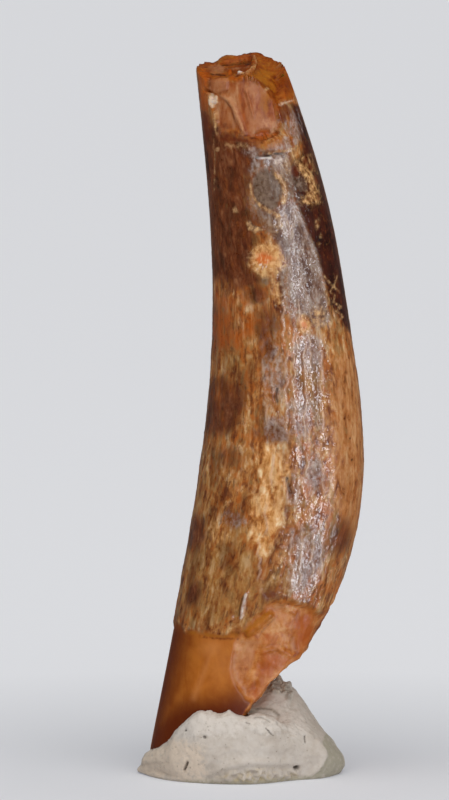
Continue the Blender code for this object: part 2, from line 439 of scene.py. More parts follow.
    "gold at the left": spot((246, 306), 9, 10, soft=8.0, gold=0.3),
    "tan at the left": spot((243, 304), 15, 13, soft=9.0, tan=0.3),
    "glow at the left": patch(
        (205, 286), (250, 294), (256, 330), (240, 352), (205, 350), soft=12.0, glow=0.5
    ),
    "shade at the left": patch(
        (200, 296), (226, 300), (240, 330), (236, 350), (200, 360), soft=12.0, dark=0.45
    ),
    "shade under the band": patch(
        (254, 310), (274, 308), (280, 330), (262, 342), (252, 330), soft=10.0, dark=0.7
    ),
    "dark streak": spot((264, 332), 6, 28, soft=7.0, dark=0.8),
    "olive at the left": spot((236, 358), 17, 18, soft=10.0, olive=0.5),
    "furrows": spot((274, 370), 12, 40, soft=10.0, lilac=0.5),
    "dark middle left": patch(
        (186, 382), (222, 376), (239, 384), (243, 400), (238, 426), (222, 436), (186, 434), soft=10.0,
        dark=0.85,
    ),
    "cavity": line(1.3, (277, 389), (275.5, 396), (277, 402), soft=1.6, rise=-0.16, crack=0.7),
    "dark, lower left": spot((230, 458), 13, 11, soft=9.0, dark=0.6),
    "dark middle": spot((262, 433), 12, 8, soft=6.0, dark=0.5),
    "lilac middle": patch((262, 418), (286, 416), (288, 440), (268, 443), soft=5.0, lilac=0.75),
    # The glossy strip, and the quiet right side.
    "glossy strip": patch(
        (290, 335), (330, 340), (332, 420), (326, 500), (327, 560), (308, 602), (288, 598), (286, 440),
        soft=10.0, gloss=1.0,
    ),
    # The lilac down the glossy strip is painted reflection of the window.
    "strip, top": spot((308, 353), 14, 17, soft=8.0, lilac=1.0),
    "strip, olive": spot((314, 388), 10, 20, soft=8.0, olive=0.8),
    "strip, upper": spot((300, 415), 13, 22, soft=8.0, lilac=0.8),
    "strip, middle": spot((314, 474), 9, 18, soft=6.0, lilac=0.9),
    "strip, low": patch(
        (291, 530), (324, 536), (322, 565), (312, 592), (300, 602), (289, 588), soft=9.0, lilac=0.8
    ),
    "right side, calm": patch(
        (330, 335), (372, 330), (390, 420), (390, 530), (356, 560), (342, 520), (334, 450), soft=7.0, calm=1.0
    ),
    "right side, tan": patch(
        (332, 360), (372, 350), (390, 420), (390, 520), (352, 545), (338, 510), (330, 450), soft=10.0, tan=1.0
    ),
    "speck": spot((350, 438), 0.9, 0.9, soft=0.9, crack=1.0),
    "second speck": spot((352, 460), 0.9, 0.9, soft=0.9, crack=1.0),
    # The gold patch and the lower enamel.
    "gold": patch(
        (260, 446), (287, 444), (290, 470), (286, 500), (283, 540), (266, 560), (250, 545), (252, 505),
        (262, 480), soft=10.0, gold=0.8,
    ),
    "gold's calm": spot((270, 490), 20, 50, soft=12.0, calm=0.8),
    "tan beside the gold": spot((285, 452), 12, 20, soft=7.0, tan=0.8),
    "gold's first streak": line(1.3, (273, 450), (274, 470), (272, 492), soft=2.4, cream=0.8),
    "gold's second streak": line(1.3, (283, 448), (284, 468), (282, 490), soft=2.4, cream=0.8),
    "gold's third streak": line(1.8, (262, 488), (257, 500), (262, 515), soft=2.8, cream=0.8),
    "low hole": line(1.8, (287, 478), (288, 485), (291, 493), soft=1.9, rise=-0.18, crack=0.7),
    # The lilac beside the low hole is a painted highlight.
    "beside the hole": spot((293, 492), 7, 14, soft=5.0, lilac=0.6),
    "olive left edge": spot((206, 495), 12, 26, 10, soft=10.0, olive=0.6),
    "gold, low left": spot((216, 530), 12, 16, soft=10.0, gold=0.6),
    "lilac, low left": spot((234, 520), 14, 9, soft=7.0, lilac=0.55),
    "dark, low left": spot((234, 518), 12, 9, -20, soft=8.0, dark=0.6),
    "dark low left rim": spot((196, 532), 10, 17, 8, soft=7.0, dark=1.0),
    "dark foot left": spot((194, 594), 7, 13, 15, soft=6.0, dark=1.0),
    "dark low right": spot((341, 536), 10, 18, 12, soft=8.0, dark=0.85),
    "olive foot": patch(
        (180, 556), (200, 520), (240, 520), (262, 560), (296, 585), (262, 612), (245, 626), (180, 620),
        soft=12.0, olive=0.8,
    ),
    "dimple": spot((236, 616), 4.0, 4.0, soft=2.0, rise=-0.10),
    # The silver ridge's white is a painted highlight down its crest.
    "silver ridge": line(1.6, (246, 594), (243, 606), (241, 618), soft=1.3, rise=0.12, white=0.5),
    "silver ridge's gloss": spot((243, 606), 4, 14, soft=3.0, gloss=1.0),
    "silver ridge's shadow": line(0.8, (243, 597), (240, 607), (239, 616), crack=1.0),
    "lower edge": line(1.2, (186, 632), (203, 634), (223, 637), (236, 634), soft=2.4, ochre=0.9),
    # The umber under the enamel's lower edge is painted shade beneath the step.
    "under the lower edge": line(1.0, (200, 636), (223, 639), (238, 638), soft=2.0, umber=0.9),
    "band over the scar": patch(
        (260, 594), (270, 591), (284, 594), (290, 599), (276, 600), (266, 603), umber=0.85
    ),
    # The scar at the foot, and the root.
    "scar's top shadow": line(0.8, (262, 604), (272, 602), (290, 604), (306, 608), soft=2.0, umber=0.8),
    "scar's top": patch((262, 606), (282, 603), (290, 609), (272, 612), soft=3.0, blush=0.7),
    "scar's upper rib": line(1.6, (281, 603), (288, 609), (294, 613), rise=0.12),
    "golden ledge": patch(
        (240, 630), (252, 621), (266, 611), (272, 611), (262, 621), (247, 633), soft=1.8, rise=0.16, ochre=1.0
    ),
    "ledge's foot": spot((234, 634), 6, 3, soft=3.0, ochre=0.8),
    # The dark line under the ledge is painted shade.
    "under the ledge": line(0.9, (236, 636.5), (239, 641), soft=2.0, crack=0.4),
    "finger": line(2.7, (249, 634), (259, 626), (270.5, 614.5), soft=2.2, rise=0.26, ochre=0.9),
    "finger's shadow": line(1.0, (277, 616.5), (265, 628), (259, 636.5), soft=2.0, rise=-0.05, umber=0.5),
    "scar's middle": patch((268, 618), (286, 606), (292, 618), (288, 640), (272, 640), soft=8.0, blush=0.6),
    "scar's left": patch((262, 634), (276, 626), (282, 640), (272, 650), (260, 644), soft=5.0, glow=0.6),
    "scar's right": patch(
        (293, 622), (310, 614), (314, 620), (312, 642), (300, 656), (296, 636), soft=6.0, glow=0.85
    ),
    "scar's right line": line(0.8, (292, 620), (291, 634), (298, 654), soft=2.0, umber=0.6),
    "small facet": patch((290, 638), (296, 636), (297, 652), (291, 653), soft=1.8, rise=-0.10, blush=0.6),
    "scar's rib": line(1.6, (262, 652), (277, 648), (290, 655), rise=0.12),
    "line over the rib": line(0.8, (262, 646), (278, 643), (290, 650), soft=2.0, umber=0.6),
    "scar's ochre": spot((268, 650), 12, 8, 20, soft=7.0, ochre=0.6),
    "pink facet": patch(
        (240, 641), (264, 640), (256, 656), (251, 674), (245, 695), (235, 683), (230, 669), soft=3.6,
        rise=-0.08, blush=0.85,
    ),
    "scar's foot": patch(
        (262, 650), (290, 655), (296, 660), (270, 678), (256, 697), (250, 695), soft=7.0, glow=0.8
    ),
    "ochre foot": spot((260, 680), 5, 9, 25, ochre=0.8),
    "streak by the scar": line(0.6, (317.8, 610), (317.5, 626), soft=1.6, pale=0.5),
    "root's swelling": patch((205, 640), (219, 642), (195, 700), (182, 708), soft=5.0, rise=0.05),
    "root's left edge": line(17, (172, 636), (163, 670), (154, 710), (146, 760), soft=16.0, shadow=1.0),
    "root at the putty": line(30, (152, 756), (190, 730), (225, 726), (236, 724), soft=16.0, shadow=1.0),
    # The root's streaks are a painted highlight: its soft sheen.
    "root's streak": line(0.5, (214, 644), (206, 668), (194, 698), soft=6.0, streak=1.0),
    "root's right": spot((222, 664), 10, 18, 12, soft=12.0, streak=0.4),
    "root's top": spot((212, 648), 9, 8, soft=9.0, streak=0.7),
}

# How far the noise that stains the tooth's back is shifted for each pigment: the higher, the more of
# it. The others are in front only.
BEHIND = {"dark": 0.15, "calm": -0.1, "gloss": -0.2, "tan": -0.1, "olive": -0.2, "gold": -0.25, "umber": -0.1}

# The thin, wandering ridges that catch the light down the right of the tooth: how far across the
# picture, and between which heights.
THREADS = (
    (293, 334, 350), (297, 334, 350), (294, 353, 425), (286, 352, 431), (305, 350, 440), (323, 412, 433),
    (266, 402, 424), (283, 300, 338), (298, 300, 322), (310, 335, 372), (322, 340, 394), (307, 455, 476),
    (324, 466, 492), (287, 475, 504), (298, 478, 506), (310, 511, 526), (291, 530, 592), (301, 525, 598),
    (312, 530, 582), (322, 530, 575), (259, 540, 580), (271, 455, 485), (266, 505, 534),
)
THREAD_STRAY = 3.0  # how far a thread strays from its course, in pixels
THREAD_BEND = 9.0  # how far down the picture one of its bends reaches
THREAD_EDGE, THREAD_CORE = 1.7, 0.3  # a thread fades in between these distances from its middle
THREAD_END = 3.0  # how softly its ends fade out


def thread(u, v, across, top, bottom):
    """How much of a thin line that wanders down the picture covers each place."""
    course = np.stack((np.full(v.shape, across * 1.7), v / THREAD_BEND, np.zeros(v.shape)), axis=1)
    away = np.abs(u - across - THREAD_STRAY * noise(course, 73))
    begun = smooth(top - THREAD_END, top + THREAD_END, v)
    unended = smooth(bottom + THREAD_END, bottom - THREAD_END, v)
    return smooth(THREAD_EDGE, THREAD_CORE, away) * begun * unended


# ---------------------------------------------------------------- the tooth's solid shape

# The tooth's level sections, as in the CAD: height, middle and half width. Most come from a helper
# script that measured the tooth's edges in the photograph; the others were set by hand.
TOOTH_STATIONS = (
    (0.0, -1.10, 4.40),
    (4.0, -0.33, 4.43),
    (8.0, 0.48, 4.44),
    (10.0, 0.90, 4.54),
    (12.0, 1.44, 4.67),
    (14.0, 1.92, 4.80),
    (16.0, 2.21, 4.80),
    (20.0, 2.52, 4.49),
    (25.0, 2.40, 4.04),
    (30.0, 2.03, 3.64),
    (35.0, 1.26, 3.23),
    (40.0, 0.20, 2.66),
    (43.0, -0.50, 2.20),
)
DEPTH_SHARE = 0.80  # a section's depth over its width
TOOTH_FOOT = 0.95  # height of the broken lower end, inside the putty

# The snapped tip: its back edge as it shows from the front, as how far right and how high, and how
# steeply its faces rise from the front to that edge, from the left to the right. Most of the edge's
# points follow heights that a helper script measured in the photograph, in every fourth column.
TIP_EDGE = (
    (-2.60, 40.55), (-2.42, 40.95), (-2.18, 41.00), (-1.90, 41.10), (-1.36, 41.16), (-1.16, 41.33),
    (-0.92, 41.50), (-0.69, 41.54), (-0.10, 41.56), (0.23, 41.70), (0.69, 41.76), (1.15, 41.58),
    (1.60, 41.36), (1.84, 41.26), (2.07, 41.06), (2.30, 40.78), (2.53, 40.42), (2.76, 40.10),
    (2.99, 39.80), (3.40, 39.60),
)
TIP_BREAK_HEIGHT = 41.3  # about where that edge meets the tooth's back
TIP_LEAN = ((-2.5, 0.30), (-1.3, 0.30), (-0.9, 0.36), (0.7, 0.34), (1.5, 0.60), (2.3, 1.00), (2.9, 1.00))

# The flakes struck from the foot, placed as in the CAD: the middle of each hollow, and where it faces.
# The CAD's hollows are 0.15 mm deeper.
UPPER_FLAKE = (np.array((4.50, 1.5, 8.10)), np.array((0.84, -0.25, -0.48)))
LOWER_FLAKE = (np.array((1.60, 2.6, 5.00)), np.array((0.67, -0.20, -0.71)))
FLAKE_RADIUS = 14.0

# In the picture: the window at the tip where a layer has flaked off, the scar at the foot, the right
# outline of the flaked foot, and the enamel's lower edge.
WINDOW = (
    (206, 76), (218, 74), (230, 76), (238, 80), (249, 77), (261, 84), (272, 94), (276, 104), (277, 118),
    (281, 128), (274, 134), (257, 140), (243, 136), (236, 129), (221, 132), (216, 122), (215, 108),
    (209, 92),
)
WINDOW_DEPTH = 0.26
FOOT_SCAR = (
    (237, 635), (241, 628), (252, 620), (262, 609), (272, 601.5), (289, 602), (306, 605), (314, 612),
    (330, 612), (345, 640), (300, 720), (246, 701), (238, 690), (231, 668), (234, 645),
)
FOOT_SCAR_DEPTH = 0.28
FOOT_OUTLINE = (
    (341.5, 580), (330.5, 606), (324, 619), (311, 641.5), (307, 649), (300.5, 658), (290, 664),
    (279.5, 671.5), (265, 688.5), (254.5, 701.5), (240, 722), (232, 736),
)
PIXEL = 0.0575  # millimetres across one pixel of the picture, at the tooth
OUTLINE_LEAN = 0.7  # the distance from the outline over the distance straight across from it
ENAMEL_EDGE = (
    (160, 618), (176, 623), (186, 630), (203, 633), (223, 636), (233, 633), (240, 634), (246, 626),
    (259, 615), (266, 603), (281, 600), (289, 601), (307, 605), (314, 611), (327, 618), (345, 626),
)
BACK_ENAMEL_EDGE = 626
ENAMEL_STEP = 0.07
SCAR_FADE = (0.3, -0.6)  # the depths between which the front's scars begin
SCAR_RAGGEDNESS = 14.0  # how far the edges of the scars wander, in pixels
ENAMEL_RAGGEDNESS = 26.0


def section_curves():
    """The middle and the half width at each height, as smooth curves through the stations."""
    stations = np.array(TOOTH_STATIONS)
    fit = np.polynomial.Polynomial.fit
    return fit(stations[:, 0], stations[:, 1], 8), fit(stations[:, 0], stations[:, 2], 8)


MIDDLE, HALF_WIDTH = section_curves()


def section(height):
    """The middle, half width and half depth of the unbroken tooth at each height."""
    held = np.clip(height, 0.0, TOOTH_STATIONS[-1][0])
    half_width = HALF_WIDTH(held)
    return MIDDLE(held), half_width, half_width * DEPTH_SHARE


def tip_height(x, y):
    """The height of the snapped tip over each place."""
    middle, half_width, half_depth = section(TIP_BREAK_HEIGHT)
    back = half_depth * np.sqrt(np.clip(1.0 - ((x - middle) / half_width) ** 2, 0.0, 1.0))
    edge = np.interp(x, *np.array(TIP_EDGE).T) - back * math.tan(CAMERA_ELEVATION)
    return edge - np.interp(x, *np.array(TIP_LEAN).T) * (back - y)


def flake_gap(points, flake):
    """Positive where a flake has been struck away."""
    middle, outward = flake
    centre = middle + outward / np.linalg.norm(outward) * FLAKE_RADIUS
    return FLAKE_RADIUS - np.linalg.norm(points - centre, axis=1)


def scars(points, wobble):
    """Soft masks of the places where the outer layers are missing."""
    u, v = picture(points)
    front = smooth(*SCAR_FADE, points[:, 1])
    edge = np.interp(u, *np.array(ENAMEL_EDGE).T)
    edge += (BACK_ENAMEL_EDGE - edge) * smooth(-0.6, 0.9, points[:, 1])
    window = smooth(-0.8, 1.2, area(u, v, WINDOW) + SCAR_RAGGEDNESS * wobble) * front
    foot = smooth(-1.0, 4.0, area(u, v, FOOT_SCAR) + SCAR_RAGGEDNESS * wobble) * front
    bare = smooth(-2.2, 2.2, v - edge + ENAMEL_RAGGEDNESS * wobble)
    return window, foot, bare


def faces_of_tooth(points, wobble, rough):
    """Signed distances, about in millimetres, to each face of the tooth; positive outside."""
    x, y, z = points.T
    middle, half_width, half_depth = section(z)
    rim = np.hypot((x - middle) / half_width, y / half_depth)
    window, foot, bare = scars(points, wobble)
    side = (rim - 1.0) * half_depth + window * WINDOW_DEPTH + foot * FOOT_SCAR_DEPTH
    side += np.maximum(bare - foot, 0.0) * ENAMEL_STEP
    u, v = picture(points)
    outline = np.array(FOOT_OUTLINE)
    beyond = (u - np.interp(v, outline[:, 1], outline[:, 0])) * PIXEL * OUTLINE_LEAN
    beyond = np.where(v < outline[0, 1], -1.0, beyond)
    flakes = np.maximum.reduce((flake_gap(points, UPPER_FLAKE), flake_gap(points, LOWER_FLAKE), beyond))
    return {
        "side": side,
        "tip": z - tip_height(x, y) + rough,
        "flakes": flakes + rough,
        "foot": TOOTH_FOOT - z,
    }


# ---------------------------------------------------------------- the tooth's fine grid

COLUMNS = 272
FRONT_CROWDING = 0.42  # how much closer the columns stand at the front than on average
SIDE_ROWS = 290
TIP_ROWS = 52
FOOT_ROWS = 14
SPINE_FOOT, SPINE_TIP = 2.9, 38.6  # the heights that the rays' spine runs between
SPINE_SHIFT = 2.4
SHIFT_TOP, SHIFT_FULL = 8.5, 2.5  # the spine moves left between these heights
BREAK_EDGE = (-0.10, -0.02)  # how near to a broken face a point belongs to it, from not at all to all
RAY_REACH = 14.0
HALVINGS = 20  # of the stretch of a ray in which its end is looked for
ROD_RADIUS = 4.3  # of the tooth when it is straightened into a rod

# How far each part of the fine surface stands proud, in millimetres.
RIDGE_RISE, FINE_RIDGE_RISE, BROAD_RISE, LUMP_RISE, THREAD_RISE = 0.026, 0.010, 0.042, 0.016, 0.030
HACKLE_RISE, HACKLE_CREST_RISE, FLAKE_CREST_RISE = 0.06, 0.03, 0.024
WINDOW_GRAIN_RISE, WINDOW_CREST_RISE = 0.030, 0.012
ROOT_GRAIN_RISE, ROOT_LUMP_RISE = 0.010, 0.004
RELIEF_TOP, RELIEF_FULL = 29.0, 23.0  # the heights between which the enamel grows rough


def spine_shift(height):
    """How far left of the middle the spine runs, so that it stays inside the flaked foot."""
    return SPINE_SHIFT * smooth(SHIFT_TOP, SHIFT_FULL, height)


def tooth_rays():
    """A ray's start and direction for each point of the grid, from the foot's pole to the tip's."""
    turn = np.linspace(0.0, 2.0 * math.pi, COLUMNS, endpoint=False)
    angles = FRONT + turn - FRONT_CROWDING * np.sin(turn)
    tilts = (
        np.linspace(-math.pi / 2, 0.0, FOOT_ROWS, endpoint=False)[1:],
        np.zeros(SIDE_ROWS),
        np.linspace(0.0, math.pi / 2, TIP_ROWS, endpoint=False)[1:],
    )
    heights = (
        np.full(FOOT_ROWS - 1, SPINE_FOOT),
        np.linspace(SPINE_FOOT, SPINE_TIP, SIDE_ROWS),
        np.full(TIP_ROWS - 1, SPINE_TIP),
    )
    tilt, angle = np.meshgrid(np.concatenate(tilts), angles, indexing="ij")
    height, _ = np.meshgrid(np.concatenate(heights), angles, indexing="ij")
    rows = tilt.shape[0]
    tilt, angle, height = tilt.ravel(), angle.ravel(), height.ravel()
    middle, half_width, half_depth = section(height)
    start = np.stack((middle - spine_shift(height), np.zeros_like(height), height), axis=1)
    rim = np.stack((middle + half_width * np.cos(angle), half_depth * np.sin(angle), height), axis=1)
    direction = (rim - start) * np.cos(tilt)[:, None]
    direction[:, 2] += half_depth * np.sin(tilt)
    direction /= np.linalg.norm(direction, axis=1)[:, None]
    start = np.concatenate((start, start[:1], start[-1:]))
    direction = np.concatenate((direction, ((0.0, 0.0, -1.0), (0.0, 0.0, 1.0))))
    return rows, start, direction


def cast(start, direction, wobble, rough):
    """Where each ray leaves the solid tooth."""
    near, far = np.zeros(len(start)), np.full(len(start), RAY_REACH)
    for _ in range(HALVINGS):
        halfway = (near + far) / 2.0
        faces = faces_of_tooth(start + direction * halfway[:, None], wobble, rough)
        outside = np.max(list(faces.values()), axis=0) > 0.0
        far = np.where(outside, halfway, far)
        near = np.where(outside, near, halfway)
    return start + direction * near[:, None]


def grid_faces(rows, columns):
    """Quads between the rows of a grid that closes on itself, and triangles to its two poles."""
    at = np.arange(rows * columns).reshape(rows, columns)
    right = np.roll(at, -1, axis=1)
    quads = np.stack((at[:-1], right[:-1], right[1:], at[1:]), axis=-1).reshape(-1, 4)
    foot, tip = rows * columns, rows * columns + 1
    below = [(foot, b, a) for a, b in zip(at[0], right[0])]
    above = [(tip, a, b) for a, b in zip(at[-1], right[-1])]
    return quads.tolist() + below + above


def add_object(name, data):
    made = bpy.data.objects.new(name, data)
    bpy.context.scene.collection.objects.link(made)
    return made


def new_mesh(name, points, faces):
    mesh = bpy.data.meshes.new(name)
    mesh.from_pydata((points * MM).tolist(), [], faces)
    mesh.shade_smooth()
    return mesh


def mesh_vectors(vectors, field):
    """A mesh's points or normals as an array."""
    flat = np.empty(len(vectors) * 3)
    vectors.foreach_get(field, flat)
    return flat.reshape(-1, 3)


def surface_normals(points, faces):
    return mesh_vectors(new_mesh("plain", points, faces).vertex_normals, "vector")


def make_piece(name, points, faces, masks, material):
    """A finished piece. Each mask is a number, or a vector, for every point."""
    mesh = new_mesh(name, points, faces)
    for mask, values in masks.items():
        values = np.asarray(values, dtype=np.float32)
        kind, field = ("FLOAT", "value") if values.ndim == 1 else ("FLOAT_VECTOR", "vector")
        mesh.attributes.new(mask, kind, "POINT").data.foreach_set(field, values.ravel())
    mesh.materials.append(material)
    return add_object(name, mesh)


def grain_of(points):
    """Each point's place on the tooth straightened into a round rod: round it, and along it."""
    middle, half_width, half_depth = section(points[:, 2])
    angle = np.arctan2(points[:, 1] / half_depth, (points[:, 0] - middle) / half_width)
    return np.stack((ROD_RADIUS * np.cos(angle), ROD_RADIUS * np.sin(angle), points[:, 2]), axis=1)


def stretched(grain, across, along):
    """Grain coordinates for noise whose lumps are that long across and along the tooth."""
    return grain / np.array((across, across, along))


def edge_noise(points):
    """The uneven edge of the scars, and the uneven level of the broken faces."""
    wobble = 0.10 * noise(points * 1.1, 3) + 0.08 * noise(points * 2.8, 4)
    rough = 0.12 * noise(points * 0.9, 7) + 0.06 * noise(points * 2.2, 8)
    return wobble, rough


def tooth_zones(points, wobble, rough):
    """Soft masks of the tooth's kinds of surface."""
    faces = faces_of_tooth(points, wobble, rough)
    flake = smooth(*BREAK_EDGE, faces["flakes"])
    tip = smooth(*BREAK_EDGE, faces["tip"])
    window, foot, bare = scars(points, wobble)
    window = window * (1.0 - tip)
    flake = np.maximum(flake, foot)
    broken = np.maximum.reduce((flake, tip, window))
    second = np.sort(np.stack(list(faces.values())), axis=0)[-2]
    return {
        "inner": smooth(0.02, 0.40, -second),
        "enamel": (1.0 - bare) * (1.0 - broken),
        "flake": flake,
        "tip": tip,
        "window": window,
    }


def seen(points, zones, fade):
    """1 where the picture's marks go: on the front, and on the snapped tip's faces."""
    return np.maximum(smooth(0.3, 0.3 - fade, points[:, 1]), zones["tip"])


def front_marks(points, zones):
    """How far the front's own steps, cracks, pits and threads stand proud, in millimetres."""
    u, v = picture(points)
    height = marked_height(TOOTH_MARKS, u, v)
    threads = np.maximum.reduce([thread(u, v, *course) for course in THREADS])
    front = seen(points, zones, fade=0.9)
    return height * front, threads * front


def enamel_relief(points, calm, threads):
    """The enamel's wandering ridges, lumps and threads, and its broad swells on their own."""
    grain = grain_of(points)
    bend = noise(stretched(grain, 0.9, 1.3), 20)[:, None] * np.array((0.22, 0.22, 0.0))
    bend = bend + noise(stretched(grain, 2.5, 3.0), 19)[:, None] * np.array((0.4, 0.4, 0.0))
    ridges = smooth(0.22, 0.0, np.abs(noise(stretched(grain + bend, 0.75, 2.6), 21)))
    fine = smooth(0.25, 0.0, np.abs(noise(stretched(grain + bend, 0.42, 1.1), 22)))
    broad = noise(stretched(grain + bend, 0.8, 2.4), 18)
    lumps = noise(points * 3.4, 23)
    patchy = np.clip(0.75 + 0.8 * noise(stretched(grain, 2.2, 3.0), 24), 0.2, 1.4)
    strength = 0.20 + 0.80 * smooth(RELIEF_TOP, RELIEF_FULL, points[:, 2])
    strength = strength * (1.0 - 0.55 * calm)
    enamel = strength * patchy * (RIDGE_RISE * ridges + FINE_RIDGE_RISE * fine)
    enamel += strength * BROAD_RISE * broad
    enamel += (0.4 + 0.6 * strength) * LUMP_RISE * lumps + THREAD_RISE * threads
    return enamel, broad


def hackle(points, zones):
    """The rough grain of the broken faces, which fades out towards their rims."""
    height = HACKLE_RISE * layered(points * 1.2, 30, 3, 0.45) + HACKLE_CREST_RISE * creased(points * 1.5, 34)
    height += FLAKE_CREST_RISE * creased(points * np.array((2.0, 2.0, 1.5)), 35) * zones["flake"]
    return height * zones["inner"]


def window_grain(points):
    """The drawn-out grain of the window at the tip."""
    drawn = WINDOW_GRAIN_RISE * noise(points / np.array((0.5, 0.7, 2.8)), 40)
    return drawn + WINDOW_CREST_RISE * creased(points / np.array((0.6, 0.8, 1.2)), 41)


def root_grain(points):
    """The faint grain of the bare root."""
    drawn = ROOT_GRAIN_RISE * noise(stretched(grain_of(points), 0.9, 6.0), 45)
    return drawn + ROOT_LUMP_RISE * noise(points * 4.0, 46)


def relief(points, zones, calm):
    """How far the fine surface stands proud of the plain shape, and two of its parts on their own."""
    marks, threads = front_marks(points, zones)
    enamel, broad = enamel_relief(points, calm, threads)
    broken = np.maximum(zones["flake"], zones["tip"])
    root = 1.0 - np.maximum.reduce((zones["enamel"], broken, zones["window"]))
    height = (
        zones["enamel"] * enamel
        + broken * hackle(points, zones)
        + zones["window"] * window_grain(points)
        + root * root_grain(points)
    )
    return height + marks, {"broad": broad, "threads": threads}


def make_tooth():
    rows, start, direction = tooth_rays()
    level = np.zeros(len(start))
    wobble, rough = edge_noise(cast(start, direction, level, level))
    points = cast(start, direction, wobble, rough)
    faces = grid_faces(rows, COLUMNS)
    normals = surface_normals(points, faces)
    zones = tooth_zones(points, wobble, rough)
    pigments = tooth_pigments(points, zones)
    height, parts = relief(points, zones, pigments["calm"])
    points = points + normals * height[:, None]
    places = {"grain": grain_of(points), "solid": points}
    return make_piece("fossil_tooth", points, faces, zones | pigments | parts | places, tooth_material())


# ---------------------------------------------------------------- the tooth's colours


def tooth_pigments(points, zones):
    """Masks of the stains, crusts and spots on the tooth, and of the shade, highlights and sheen painted
    on it. Each is 1/2 at its edge, and the material roughens the edge."""
    u, v = picture(points)
    front = seen(points, zones, fade=1.1)
    clouds = layered(stretched(grain_of(points), 2.2, 3.4), 54, 3)
    masks = marked_pigments(TOOTH_MARKS, u, v)
    for name in masks:
        back = smooth(-0.05, 0.65, clouds + BEHIND[name]) if name in BEHIND else 0.0
        masks[name] = front * masks[name] + (1.0 - front) * back
    return masks


def srgb(red, green, blue):
    """A screen colour, from 0 to 255, in the linear values that nodes use."""
    return tuple((part / 255.0) ** 2.2 for part in (red, green, blue))


class Nodes:
    """A short way to write a material's nodes. Plain colours are screen colours."""

    def __init__(self, name):
        self.material = bpy.data.materials.new(name)
        self.material.use_nodes = True
        self.tree = self.material.node_tree

    def put(self, value, socket):
        """Links an output to a socket, or sets the socket to a plain value."""
        if isinstance(value, bpy.types.NodeSocket):
            self.tree.links.new(value, socket)
        else:
            socket.default_value = value

    def add(self, kind, output, inputs=None, **settings):
        """A new node with its inputs linked or set. Gives one of its outputs."""
        node = self.tree.nodes.new(kind)
        for name, value in settings.items():
            setattr(node, name, value)
        for socket, value in (inputs or {}).items():
            self.put(value, node.inputs[socket])
        return node.outputs[output]

    def shade(self, inputs):
        """Links or sets the shader's inputs, which finishes the material."""
        for socket, value in inputs.items():
            self.put(value, self.tree.nodes["Principled BSDF"].inputs[socket])
        return self.material

    def mask(self, name):
        return self.add("ShaderNodeAttribute", "Fac", attribute_name=name)

    def along(self, name, bare, covered):
        """A value that goes from one where a mask is 0 to another where it is 1."""
        return self.range(self.mask(name), 0.0, 1.0, bare, covered)

    def noise(self, source, scale, shift=(0.0, 0.0, 0.0), detail=3.0, roughness=0.55, distortion=0.0):
        """A noise texture over one of the mesh's vector attributes."""
        vector = self.add("ShaderNodeAttribute", "Vector", attribute_name=source)
        moved = {"Vector": vector, "Location": shift, "Scale": scale}
        place = self.add("ShaderNodeMapping", "Vector", moved)
        look = {"Scale": 1.0, "Detail": detail, "Roughness": roughness, "Distortion": distortion}
        return self.add("ShaderNodeTexNoise", "Fac", {"Vector": place, **look})

    def range(self, value, low, high, to_low=0.0, to_high=1.0):
        ends = {"From Min": low, "From Max": high, "To Min": to_low, "To Max": to_high}
        return self.add("ShaderNodeMapRange", "Result", {"Value": value, **ends})

    def plus(self, first, second):
        return self.add("ShaderNodeMath", "Value", {0: first, 1: second}, operation="ADD")

    def times(self, first, second):
        return self.add("ShaderNodeMath", "Value", {0: first, 1: second}, operation="MULTIPLY")

    def blend(self, first, second, share):
        """A value part of the way from the first to the second."""
        ends = {"Factor": share, "A": first, "B": second}
        return self.add("ShaderNodeMix", "Result", ends, data_type="FLOAT")

    def mix(self, share, first, second):
        """A colour part of the way from the first to the second."""
        ends = {"Factor": share}
        for name, colour in (("A", first), ("B", second)):
            ends[name] = (*srgb(*colour), 1.0) if isinstance(colour, tuple) else colour
        return self.add("ShaderNodeMix", "Result", ends, data_type="RGBA")

    def ramp(self, value, *stops):
        """A colour ramp. Each stop is a position, then a colour."""
        node = self.tree.nodes.new("ShaderNodeValToRGB")
        self.put(value, node.inputs["Fac"])
        elements = node.color_ramp.elements
        while len(elements) < len(stops):
            elements.new(0.5)
        for element, (position, *colour) in zip(elements, stops):
            element.position = position
            element.color = (*srgb(*colour), 1.0)
        return node.outputs["Color"]

    def bump(self, height, distance):
        """Normals for bumps of that height, in metres."""
        return self.add("ShaderNodeBump", "Normal", {"Height": height, "Distance": distance, "Strength": 1.0})

    def ragged(self, name, texture, amount):
        """A mask with its soft edge broken up by a texture."""
        pushed = self.plus(self.mask(name), self.range(texture, 0.3, 0.7, -amount, amount))
        return self.times(self.range(pushed, 0.08, 0.92), self.range(self.mask(name), 0.02, 0.45))

    def stained(self, colour, *stains):
        """A colour under stains. Each is a mask, its share, its tint, and the texture that breaks its
        edge up by some amount."""
        for name, share, tint, texture, amount in stains:
            colour = self.mix(self.times(self.ragged(name, texture, amount), share), colour, tint)
        return colour


